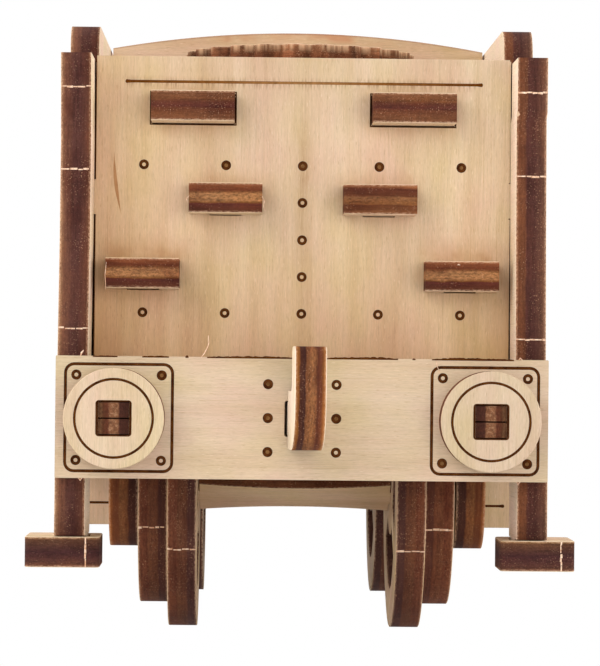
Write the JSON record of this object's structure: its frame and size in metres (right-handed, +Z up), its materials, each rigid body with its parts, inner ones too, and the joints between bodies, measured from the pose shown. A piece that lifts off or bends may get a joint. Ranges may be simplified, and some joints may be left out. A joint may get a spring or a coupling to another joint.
{
  "type": "model box car",
  "caption": "Open-topped plywood model rail car on spoked wheelsets, with buffer beams, coupling hooks, corner footsteps and a scalloped filler cap on its deck.",
  "frame": {"origin": "centre of the footprint at the level of the lowest points of the wheel flanges", "axes": "+Y along the car away from the pictured end, +X to the right seen from that end, +Z up"},
  "size_m": [0.054, 0.1246, 0.065],
  "materials": {
    "veneer_ply": "bare birch veneer with charred cut edges",
    "pale_ply": "bare pale birch veneer with engraved lines",
    "shaded_ply": "bare birch veneer, hidden or shaded piece",
    "burnt_ply": "small ply piece showing mostly charred cut edges"
  },
  "bodies": {
    "car_body": {"side_wall_left": "veneer_ply", "side_wall_right": "veneer_ply", "end_panel_near": "veneer_ply", "end_panel_far": "veneer_ply", "floor": "shaded_ply", "deck": "shaded_ply", "bulkhead": "veneer_ply", "cross_bearer": "veneer_ply", "side_frame_left": "shaded_ply", "side_frame_right": "shaded_ply", "buffer_beam_near": "pale_ply", "buffer_near_left": "pale_ply", "footstep_near_left": "burnt_ply", "buffer_near_right": "pale_ply", "footstep_near_right": "burnt_ply", "buffer_beam_far": "pale_ply", "buffer_far_left": "pale_ply", "footstep_far_left": "burnt_ply", "buffer_far_right": "pale_ply", "footstep_far_right": "burnt_ply", "step_mid_left": "burnt_ply", "step_low_left": "burnt_ply", "step_mid_right": "burnt_ply", "step_low_right": "burnt_ply", "cap_neck": "shaded_ply"},
    "filler": {"filler_cap": "burnt_ply", "cap_pin": "shaded_ply"},
    "coupling_near": {"hook_near": "veneer_ply", "hook_key_near": "shaded_ply"},
    "coupling_far": {"hook_far": "veneer_ply", "hook_key_far": "shaded_ply"},
    "wheelset_near": {"axle_near": "shaded_ply", "flange_near_left": "veneer_ply", "tread_near_left": "veneer_ply", "flange_near_right": "veneer_ply", "tread_near_right": "veneer_ply"},
    "wheelset_far": {"axle_far": "shaded_ply", "flange_far_left": "veneer_ply", "tread_far_left": "veneer_ply", "flange_far_right": "veneer_ply", "tread_far_right": "veneer_ply"}
  },
  "joints": [
    {"name": "wheelset_near_roll", "type": "hinge", "parent": "car_body", "child": "wheelset_near", "pos_m": [0, -0.02465, 0.015], "axis": [1, 0, 0], "continuous": true},
    {"name": "wheelset_far_roll", "type": "hinge", "parent": "car_body", "child": "wheelset_far", "pos_m": [0, 0.02465, 0.015], "axis": [1, 0, 0], "continuous": true},
    {"name": "filler_turn", "type": "hinge", "parent": "car_body", "child": "filler", "pos_m": [0, -0.02015, 0.0601], "axis": [0, 0, 1], "continuous": true},
    {"name": "hook_near_sway", "type": "hinge", "parent": "car_body", "child": "coupling_near", "pos_m": [0, -0.05175, 0.02265], "axis": [0, 0, 1], "range_deg": [-9.5, 2.5]},
    {"name": "hook_far_sway", "type": "hinge", "parent": "car_body", "child": "coupling_far", "pos_m": [0, 0.05175, 0.02265], "axis": [0, 0, 1], "range_deg": [-9.5, 2.5]}
  ]
}
